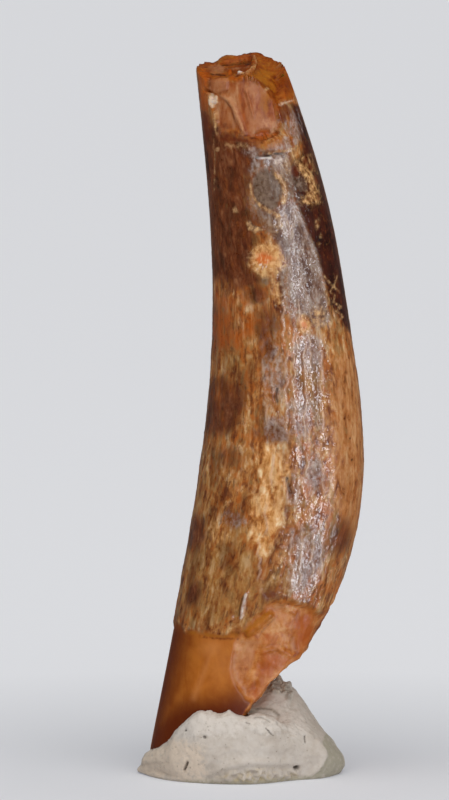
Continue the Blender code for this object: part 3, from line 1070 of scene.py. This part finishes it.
def enamel_crusts(n, colour, grit, blob, warm, rub):
    """The dark stains, the grey and sandy crusts, and the pale films that lie on the enamel, and the
    grey-lilac painted sheen where the window reflects.
    """
    fleck = n.blend(n.blend(warm, blob, 0.3), grit, 0.15)
    haze = n.blend(grit, blob, 0.5)
    spread = n.range(grit, 0.36, 0.64)
    dark = n.ramp(fleck, (0.38, 46, 17, 10), (0.47, 78, 34, 18), (0.55, 102, 52, 30), (0.64, 136, 88, 58))
    deep = n.mix(n.range(warm, 0.36, 0.64), (34, 11, 6), (74, 32, 18))
    # painted sheen: the grey-lilac that stands for the window's reflection across the band
    film = n.ramp(haze, (0.40, 86, 63, 54), (0.48, 120, 98, 86), (0.53, 136, 116, 104), (0.60, 156, 142, 134))
    return n.stained(
        colour,
        # dark and deep: stains, and painted shade in the marks named shade and down the left margin
        ("dark", 0.92, dark, rub, 0.65),
        ("deep", 1.0, deep, grit, 0.3),
        ("film", 0.9, film, grit, 0.3),
        ("grey", 1.0, n.mix(spread, (82, 62, 48), (124, 102, 86)), grit, 0.4),
        ("sand", 1.0, n.mix(spread, (172, 112, 58), (214, 168, 112)), grit, 0.5),
        # lilac: painted reflection in the glossy strip, by the window and by the low hole; elsewhere a
        # grey-lilac stain
        ("lilac", 0.75, n.mix(spread, (98, 66, 52), (168, 150, 144)), rub, 1.0),
        ("cream", 0.9, n.mix(spread, (134, 88, 54), (206, 164, 114)), grit, 0.35),
        ("rust", 0.8, (200, 94, 38), grit, 0.35),
    )


def enamel_colour(n, grit):
    """The crown's enamel: stained brown, orange, gold and olive, with crusts and clouds on top, with
    painted shade in the hollows of its swells and painted highlights along its threads.
    """
    blob = n.noise("grain", (2.2, 2.2, 1.0), detail=3.5, distortion=0.6)
    lines = n.noise("grain", (5.0, 5.0, 0.7), detail=2.0, roughness=0.5, distortion=0.2)
    warm = n.noise("grain", (1.5, 1.5, 0.9), detail=5.0, roughness=0.62, distortion=0.6)
    cool = n.noise("grain", (1.9, 1.9, 1.1), (5.0, 3.0, 9.0), detail=5.0, roughness=0.65, distortion=0.6)
    dots = n.noise("grain", (3.2, 3.2, 1.1), (2.0, 8.0, 4.0), roughness=0.6)
    rub = n.blend(blob, grit, 0.25)
    tone = n.blend(n.blend(blob, lines, 0.12), grit, 0.25)
    brown = ((0.36, 98, 50, 24), (0.45, 144, 86, 42), (0.53, 172, 118, 66), (0.63, 206, 170, 126))
    colour = n.ramp(tone, *brown)
    colour = n.mix(n.range(warm, 0.48, 0.60, 0.0, 0.7), colour, (172, 96, 40))
    colour = n.mix(n.range(cool, 0.53, 0.63, 0.0, 0.65), colour, (140, 110, 70))
    colour = n.mix(n.range(cool, 0.46, 0.36, 0.0, 0.65), colour, (90, 46, 34))

    tan = ((0.38, 154, 96, 52), (0.50, 176, 116, 68), (0.62, 192, 140, 94))
    olive = ((0.36, 96, 56, 26), (0.46, 140, 92, 46), (0.54, 160, 116, 66), (0.66, 182, 144, 100))
    gold = ((0.36, 166, 94, 40), (0.46, 202, 140, 76), (0.56, 218, 168, 114), (0.68, 240, 218, 178))
    colour = n.stained(
        colour,
        ("tan", 0.8, n.ramp(tone, *tan), rub, 1.0),
        ("olive", 0.75, n.ramp(tone, *olive), rub, 1.0),
        ("gold", 0.95, n.ramp(tone, *gold), rub, 0.9),
    )

    busy = n.along("calm", 0.6, 0.1)
    colour = n.mix(n.times(n.range(lines, 0.42, 0.32, 0.0, 0.55), busy), colour, (78, 38, 20))
    colour = n.mix(n.range(lines, 0.58, 0.68, 0.0, 0.25), colour, (200, 158, 112))
    colour = n.mix(n.times(n.range(dots, 0.43, 0.32), busy), colour, (74, 38, 24))
    colour = enamel_crusts(n, colour, grit, blob, warm, rub)
    # painted shade: darker in the hollows of the broad swells
    painted_crease_shade = n.times(n.range(n.mask("broad"), -0.05, -0.5), busy)
    colour = n.mix(n.times(painted_crease_shade, 0.7), colour, (66, 32, 18))
    # painted highlight: the threads are tinted pale along their crests, where they catch the light
    return n.mix(n.times(n.mask("threads"), 0.45), colour, (200, 168, 144))


def broken_colour(n, grit):
    """The bare root and the freshly broken faces, which are clear and orange, with painted shadow
    and a painted highlight on the root.
    """
    cloud = n.noise("solid", (1.1, 1.1, 1.1), detail=5.0, roughness=0.6, distortion=0.5)
    drawn = n.noise("solid", (1.5, 1.2, 0.45), distortion=0.6)
    root = n.ramp(n.blend(cloud, drawn, 0.5), (0.34, 146, 76, 18), (0.60, 174, 102, 38))
    root = n.mix(n.times(n.mask("shadow"), 0.9), root, (86, 28, 3))
    # streak: a painted highlight down the root
    colour = n.mix(n.times(n.mask("streak"), 0.5), root, (206, 140, 84))
    for face, texture, stops in (
        ("flake", n.blend(cloud, grit, 0.22), (
            (0.36, 140, 70, 24), (0.46, 170, 98, 42), (0.54, 188, 120, 64), (0.64, 204, 148, 98),
        )),
        ("window", n.blend(drawn, grit, 0.2), (
            (0.36, 106, 44, 18), (0.46, 140, 72, 34), (0.54, 156, 92, 52), (0.66, 176, 126, 88),
        )),
        ("tip", n.blend(cloud, grit, 0.4), (
            (0.36, 100, 40, 12), (0.46, 132, 64, 20), (0.55, 146, 82, 28), (0.66, 164, 104, 48),
        )),
    ):
        colour = n.mix(n.mask(face), colour, n.ramp(texture, *stops))
    return colour


def tooth_shine(n):
    """How strong the clear coat is: in clusters on the enamel, and hardly there elsewhere."""
    clusters = n.noise("solid", (1.0, 1.0, 0.7), (3.0, 1.0, 7.0), detail=2.0)
    shine = n.times(n.along("enamel", 0.06, 1.0), n.range(clusters, 0.42, 0.54, 0.3, 1.0))
    shine = n.times(shine, n.along("gloss", 0.35, 1.0))
    return n.times(shine, n.along("calm", 1.0, 0.15))


def tooth_material():
    n = Nodes("fossil_tooth")
    grit = n.noise("solid", (4.6, 4.6, 3.6), detail=4.0, roughness=0.6)
    soft = n.blend(n.noise("solid", (1.5, 1.5, 1.2)), grit, 0.3)
    pebble = n.noise("solid", (3.8, 3.8, 3.2), detail=1.2, roughness=0.5, distortion=0.3)
    colour = n.stained(
        n.mix(n.mask("enamel"), broken_colour(n, grit), enamel_colour(n, grit)),
        # umber: dark stain, and painted shade by the window's step, under the enamel's edge and down the left
        # margin
        ("umber", 0.75, (96, 38, 12), grit, 0.5),
        # blush: the pink of the facets, and a painted highlight along the tip's back edge
        ("blush", 0.55, (176, 120, 84), soft, 0.8),
        ("ochre", 0.70, (158, 96, 26), soft, 0.8),
        ("glow", 0.75, (166, 80, 20), soft, 0.8),
        # pale and white: cream and white bits, and painted highlights on the curl, the glints and the silver
        # ridge
        ("pale", 0.75, (218, 174, 124), grit, 0.3),
        ("white", 0.80, (226, 218, 214), grit, 0.3),
        # crack: near-black in the cracks, and painted shadow in the marks named shadows and under the ledge
        ("crack", 0.90, (38, 14, 8), grit, 0.3),
    )
    roughness = n.plus(n.along("enamel", 0.40, 0.32), n.range(grit, 0.3, 0.7, -0.06, 0.06))
    return n.shade({
        "Base Color": colour,
        "Roughness": roughness,
        "Normal": n.bump(grit, 0.00001),
        "IOR": 1.5,
        "Specular IOR Level": 0.2,
        "Coat Weight": tooth_shine(n),
        "Coat Roughness": 0.07,
        "Coat Normal": n.bump(pebble, 0.00009),
        "Subsurface Weight": 0.12,
        "Subsurface Radius": (1.0, 0.35, 0.1),
        "Subsurface Scale": 0.0008,
    })


# ---------------------------------------------------------------- the putty

PUTTY_VOXEL = 0.085
SOCKET_GAP = 0.30  # the CAD leaves this between the tooth and its socket
SOCKET_GRIP = 0.03  # how far the real putty presses into the tooth
SOCKET_REACH = 0.90  # putty further than this from the tooth stays where it is

# How far each part of the putty's skin stands proud of the lump, in millimetres.
SWELL_RISE, RIPPLE_RISE, SKIN_RISE = 0.07, 0.035, 0.008
FOLD_DEPTH, PIT_DEPTH, FINE_PIT_DEPTH = 0.030, 0.06, 0.035
ROUGH_FOOT_RISE, LOBE_RISE, TUFT_RISE, TUFT_FRAY = 0.30, 0.08, 0.20, 0.34

# How the lump was pressed after it was rolled: place, reach and move, in millimetres.
PUTTY_PRESSES = {
    "lip in front of the tooth": ((-0.5, -4.2, 3.1), 1.5, (0.0, 0.0, 0.75)),
    "lip, to the right": ((0.5, -4.0, 3.2), 1.1, (0.0, 0.0, 0.30)),
    "left shoulder": ((-4.6, -1.5, 2.2), 1.7, (0.0, 0.0, -0.30)),
    "left end": ((-5.6, -0.6, 1.0), 1.6, (0.0, -0.1, 0.22)),
    "wrinkled lobe": ((1.45, -3.4, 3.1), 1.4, (0.0, -0.25, 0.35)),
    "behind the lobe": ((1.7, -2.2, 3.6), 1.3, (0.0, 0.15, -0.60)),
}

# The marks on the putty's front, placed in the picture.
PUTTY_MARKS = {
    "crease": line(
        1.3, (206, 781), (216, 775), (228, 770.5), (249, 767.5), (270, 768), (292, 767), soft=2.2, rise=-0.13
    ),
    "fold over the crease": line(
        3.0, (212, 775), (228, 766), (249, 762.5), (270, 763), (290, 763), soft=3.0, rise=0.10
    ),
    "hollow over the fold": line(4.0, (230, 757), (255, 754), (285, 755), soft=5.0, rise=-0.07),
    "by the crease": line(1.2, (214, 779), (230, 772), (250, 769.5), (290, 769), soft=3.0, yellow=0.4),
    "rough foot": patch(
        (214, 777), (232, 772), (250, 770), (272, 770.5), (296, 772), (304, 777), (280, 782), (240, 784),
        soft=3.5, yellow=0.4,
    ),
    # The hole pigment is painted shade in the pits, slits and cracks.
    "pit at the crease's end": spot((297, 768), 2.6, 2.0, soft=1.2, rise=-0.40, hole=1.0),
    "slanted slit": line(0.9, (187, 763), (184, 770), soft=1.1, rise=-0.30, hole=1.0),
    "upper pit": spot((204.5, 737), 2.0, 1.2, 30, soft=1.1, rise=-0.10, hole=1.0),
    "left pit": spot((185, 730), 1.4, 1.0, soft=1.1, rise=-0.08, hole=1.0),
    "right slit": line(0.6, (305.5, 735), (306, 742), rise=-0.14, hole=1.0),
    "little crack": line(0.5, (246, 722), (250, 724), rise=-0.07, hole=1.0),
    # The pale on the lobe is painted light on its top.
    "lobe": patch(
        (248, 716), (258, 714), (272, 717), (281, 726), (280, 735), (262, 736), (250, 729), soft=3.0, pale=0.7
    ),
    "lobe's crack": line(0.6, (266, 728), (270, 733), (274, 736), rise=-0.08, hole=1.0),
    "lobe's wrinkle": line(0.6, (254, 718), (262, 717.5), (270, 722), rise=-0.07, hole=0.7),
    "second wrinkle": line(0.8, (252, 726), (262, 722), (272, 727), rise=-0.06),
    "third wrinkle": line(0.8, (262, 735), (272, 731), (281, 736), rise=-0.05),
    "fold behind the lobe": line(1.3, (245, 714), (255, 711.5), (266, 713), (277, 716), rise=-0.14),
    # painted shade: the dark line in the fold behind the lobe
    "dirt in the fold": line(
        1.2, (243, 714), (250, 711), (262, 708.5), (272, 710), (279, 714.5), soft=1.8, dirt=1.0, hole=0.4
    ),
    "upper left fold": line(1.0, (138, 758), (150, 757), (163, 752), rise=-0.07),
    "middle left fold": line(1.0, (139, 765), (152, 764), (168, 763), rise=-0.09),
    "lower left fold": line(1.0, (141, 772), (154, 771), (168, 775), rise=-0.07),
    "left side": patch(
        (130, 765), (150, 750), (176, 738), (202, 748), (206, 782), (136, 780), soft=10.0, beige=1.0
    ),
    "edge of the flank": line(
        2.2, (318, 742), (324, 752), (323, 762), (317, 771), (309, 777), soft=2.0, rise=0.12
    ),
    "flank": patch(
        (322, 745), (326, 755), (322, 764), (316, 773), (309, 779), (370, 785), (370, 700), (334, 700),
        soft=1.6, shade=1.0,
    ),
    "foot": patch((136, 776), (180, 781), (240, 780), (310, 776), (310, 790), (136, 790), shade=1.0),
    # The pale on the lip is painted light on the putty's top; the crumb's pale is its own colour.
    "lip": patch((166, 735), (182, 722), (200, 712), (228, 714), (246, 718), (236, 735), soft=9.0, pale=1.0),
    "crumb on the lip": spot((219.5, 708.5), 3.4, 2.4, soft=1.6, rise=0.22, pale=1.0),
    "little crumb": spot((229, 712.5), 2.0, 1.6, soft=1.2, rise=0.12),
    "by the root": line(1.0, (215, 713), (226, 715), soft=3.0, beige=1.0),
    # The pale on the mound is painted light, with a painted highlight on its brightest patch.
    "mound": patch(
        (256, 704), (268, 697), (284, 696), (296, 712), (306, 732), (288, 738), (268, 716), soft=7.0, pale=0.6
    ),
    "painted highlight on the mound": patch(
        (262, 702), (270, 695), (282, 695), (288, 704), (280, 709), (268, 708), rise=0.08, pale=1.0
    ),
    "tuft": patch(
        (267, 694), (271, 683), (279, 680), (288, 685), (292, 694), (290, 702), (286, 702), (284, 697),
        soft=2.0, dirt=0.8,
    ),
}


def remeshed(name, voxel):
    """A CAD node's shape as an even mesh of small squares: points and faces."""
    copy = add_object(name + "_even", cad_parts[name].data.copy())
    even = copy.modifiers.new("even", "REMESH")
    even.mode = "VOXEL"
    even.voxel_size = voxel * MM
    bpy.context.view_layer.update()
    mesh = bpy.data.meshes.new_from_object(copy.evaluated_get(bpy.context.evaluated_depsgraph_get()))
    bpy.data.objects.remove(copy)
    return mesh_vectors(mesh.vertices, "co") / MM, [tuple(face.vertices) for face in mesh.polygons]


def pressed(points):
    """The lump after its presses, each of which fades out smoothly over its reach."""
    points = points.copy()
    for place, reach, move in PUTTY_PRESSES.values():
        nearness = 1.0 - np.linalg.norm(points - place, axis=1) / reach
        points += smooth(0.0, 1.0, nearness)[:, None] * np.array(move)
    return points


def gripping(points):
    """Closes the gap between the putty and the tooth."""
    middle, _, _ = section(points[:, 2])
    outward = np.stack((points[:, 0] - middle, points[:, 1], np.zeros(len(points))), axis=1)
    outward /= np.linalg.norm(outward, axis=1)[:, None] + 1e-9
    level = np.zeros(len(points))
    gap = np.max(list(faces_of_tooth(points, level, level).values()), axis=0)
    close = (SOCKET_GAP + SOCKET_GRIP) * smooth(SOCKET_REACH, SOCKET_GAP, gap)
    return points - outward * close[:, None]


def putty_relief(points, facing):
    """How far the putty's skin stands proud of the pressed lump, in millimetres."""
    u, v = picture(points)
    rough_foot, lobe, tuft = [cover_of(PUTTY_MARKS, name, u, v) for name in ("rough foot", "lobe", "tuft")]
    front = marked_height(PUTTY_MARKS, u, v)
    front += rough_foot * ROUGH_FOOT_RISE * layered(points * 3.2, 63, 2)
    front += lobe * LOBE_RISE * creased(points * np.array((1.6, 1.6, 2.4)), 64)
    front += tuft * (TUFT_RISE + TUFT_FRAY * np.maximum(layered(points * 2.6, 65, 2, 0.6), -0.4))
    swells = SWELL_RISE * noise(points * 0.7, 60) + RIPPLE_RISE * layered(points * 1.7, 61, 3)
    drag = points * np.array((1.0, 1.6, 2.6)) + 0.8 * noise(points * 0.6, 68)[:, None]
    folds = FOLD_DEPTH * smooth(0.16, 0.0, np.abs(noise(drag, 69)))
    folds *= smooth(-0.1, 0.4, noise(points * 0.8, 71))
    pits = PIT_DEPTH * smooth(0.46, 0.66, noise(points * 3.2, 66))
    pits += FINE_PIT_DEPTH * smooth(0.42, 0.62, noise(points * 6.0, 67))
    return facing * front + swells - folds - pits + SKIN_RISE * noise(points * 6.0, 62)


def make_putty():
    points, faces = remeshed("putty", PUTTY_VOXEL)
    points = gripping(pressed(points))
    normals = surface_normals(points, faces)
    facing = smooth(-0.1, 0.25, normals @ TOWARDS_CAMERA)
    pigments = marked_pigments(PUTTY_MARKS, *picture(points))
    masks = {name: facing * mask for name, mask in pigments.items()}
    height = putty_relief(points, facing) * smooth(0.02, 0.30, points[:, 2])
    points = points + normals * height[:, None]
    points[:, 2] = np.maximum(points[:, 2], 0.0)
    return make_piece("mounting_putty", points, faces, masks | {"solid": points}, putty_material())


def putty_material():
    n = Nodes("mounting_putty")
    cloud = n.noise("solid", (0.5, 0.5, 0.5), detail=5.0, roughness=0.6)
    skin = n.noise("solid", (3.0, 3.0, 3.0), detail=4.0, roughness=0.65)
    specks = n.noise("solid", (5.0, 5.0, 5.0), detail=2.0, roughness=0.5)
    plain = ((0.36, 176, 164, 151), (0.50, 188, 178, 167), (0.64, 196, 188, 179))
    colour = n.stained(
        n.ramp(n.blend(cloud, skin, 0.4), *plain),
        ("beige", 0.75, (210, 192, 172), skin, 0.7),
        # pale: painted light on the lip, lobe and mound, a painted highlight on the mound, and the crumb's
        # own pale
        ("pale", 0.7, (208, 200, 191), skin, 0.7),
        ("shade", 0.8, (152, 146, 126), skin, 0.7),
        ("yellow", 0.65, (182, 162, 124), skin, 0.7),
    )
    colour = n.mix(n.range(specks, 0.66, 0.74, 0.0, 0.45), colour, (104, 88, 70))
    # the tuft's dark fibres, and painted shade in the fold behind the lobe
    dirt = n.mix(n.range(skin, 0.4, 0.6), (70, 56, 40), (186, 176, 160))
    # hole: painted shade in the pits, slits and cracks
    colour = n.stained(colour, ("dirt", 0.85, dirt, skin, 0.7), ("hole", 0.85, (58, 46, 34), skin, 0.25))
    return n.shade({
        "Base Color": colour,
        "Roughness": n.range(skin, 0.3, 0.7, 0.62, 0.82),
        "Normal": n.bump(skin, 0.00003),
        "Specular IOR Level": 0.3,
    })


# ---------------------------------------------------------------- the stage

# The floor: half its size, its grey near the putty and far from it, and where that changes, in metres.
FLOOR_HALF = 8.0
FLOOR_NEAR, FLOOR_FAR = 0.66, 0.80
FLOOR_NEAR_REACH, FLOOR_FAR_REACH = 0.012, 0.045

# The faint light that the floor and the studio round it give off.
FLOOR_GLOW, FLOOR_GLOW_STRENGTH = (0.70, 0.78, 1.0, 1.0), 0.13
STUDIO_GLOW, STUDIO_GLOW_STRENGTH = (1.0, 0.97, 0.93, 1.0), 0.12

# The lamps: azimuth, elevation and height, and what each pair shares, in degrees and millimetres.
GLOWS = {"window": (30.0, 8.0, 330.0), "table glow": (60.0, -22.0, 200.0)}
GLOW = {"distance": 400.0, "width": 460.0, "radiance": 1.25, "colour": (1.0, 0.98, 0.97)}
GLINTS = {"upper glint": (27.0, 6.0, 220.0), "lower glint": (60.0, -18.0, 220.0)}
GLINT = {"distance": 402.0, "width": 90.0, "radiance": 13.0, "colour": (0.88, 0.92, 1.0)}
CEILING_AZIMUTH, CEILING_ELEVATION = -5.0, 60.0
CEILING_STRENGTH, CEILING_SPREAD = 2.2, 80.0


def aim(thing, azimuth, elevation, distance):
    """Places a light or camera round the tooth, facing it. Azimuth 0 is in front, 90 at its right."""
    side, up = math.radians(azimuth), math.radians(elevation)
    direction = (math.sin(side) * math.cos(up), -math.cos(side) * math.cos(up), math.sin(up))
    thing.location = [(at + distance * part) * MM for at, part in zip(CAMERA_AIM, direction)]
    thing.rotation_euler = (math.pi / 2 - up, 0.0, side)


def make_camera():
    camera = add_object("camera", bpy.data.cameras.new("camera"))
    camera.data.lens = CAMERA_LENS
    camera.data.sensor_width = SENSOR
    camera.data.clip_start = 0.01
    camera.data.clip_end = 100.0
    aim(camera, 0.0, math.degrees(CAMERA_ELEVATION), CAMERA_DISTANCE)
    bpy.context.scene.camera = camera


def make_lamp(name, azimuth, elevation, height, distance, width, radiance, colour):
    """A soft box that glows that brightly all over."""
    light = bpy.data.lights.new(name, "AREA")
    light.shape = "RECTANGLE"
    light.size = width * MM
    light.size_y = height * MM
    light.energy = radiance * math.pi * light.size * light.size_y
    light.color = colour
    lamp = add_object(name, light)
    aim(lamp, azimuth, elevation, distance)
    return lamp


def make_lamps():
    """Two wide glows that light the tooth, and two narrow glints that only shine on it."""
    for name, place in GLOWS.items():
        make_lamp(name, *place, **GLOW).visible_glossy = False
    for name, place in GLINTS.items():
        make_lamp(name, *place, **GLINT).visible_diffuse = False


def make_ceiling():
    """The soft light from above, which casts no glints."""
    light = bpy.data.lights.new("ceiling", "SUN")
    light.energy = CEILING_STRENGTH
    light.angle = math.radians(CEILING_SPREAD)
    ceiling = add_object("ceiling", light)
    ceiling.visible_glossy = False
    aim(ceiling, CEILING_AZIMUTH, CEILING_ELEVATION, CAMERA_DISTANCE)


def floor_material():
    n = Nodes("floor")
    place = n.add("ShaderNodeTexCoord", "Object")
    distance = n.add("ShaderNodeVectorMath", "Value", {0: place}, operation="LENGTH")
    return n.shade({
        "Base Color": n.range(distance, FLOOR_NEAR_REACH, FLOOR_FAR_REACH, FLOOR_NEAR, FLOOR_FAR),
        "Roughness": 0.9,
        "Specular IOR Level": 0.0,
        "Emission Color": FLOOR_GLOW,
        "Emission Strength": FLOOR_GLOW_STRENGTH,
    })


def make_floor():
    corners = [(x * FLOOR_HALF, y * FLOOR_HALF, 0.0) for x, y in ((-1, -1), (1, -1), (1, 1), (-1, 1))]
    mesh = bpy.data.meshes.new("floor")
    mesh.from_pydata(corners, [], [(0, 1, 2, 3)])
    mesh.materials.append(floor_material())
    floor = add_object("floor", mesh)
    floor.visible_glossy = False
    floor.visible_shadow = False


def make_world():
    world = bpy.data.worlds.new("studio")
    bpy.context.scene.world = world
    world.use_nodes = True
    background = world.node_tree.nodes["Background"]
    background.inputs["Color"].default_value = STUDIO_GLOW
    background.inputs["Strength"].default_value = STUDIO_GLOW_STRENGTH


def main():
    bpy.context.scene.view_settings.view_transform = "Standard"
    tooth = make_tooth()
    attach(tooth, "root")
    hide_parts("tooth")
    putty = make_putty()
    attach(putty, "root")
    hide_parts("putty")
    make_camera()
    make_lamps()
    make_ceiling()
    make_floor()
    make_world()


main()
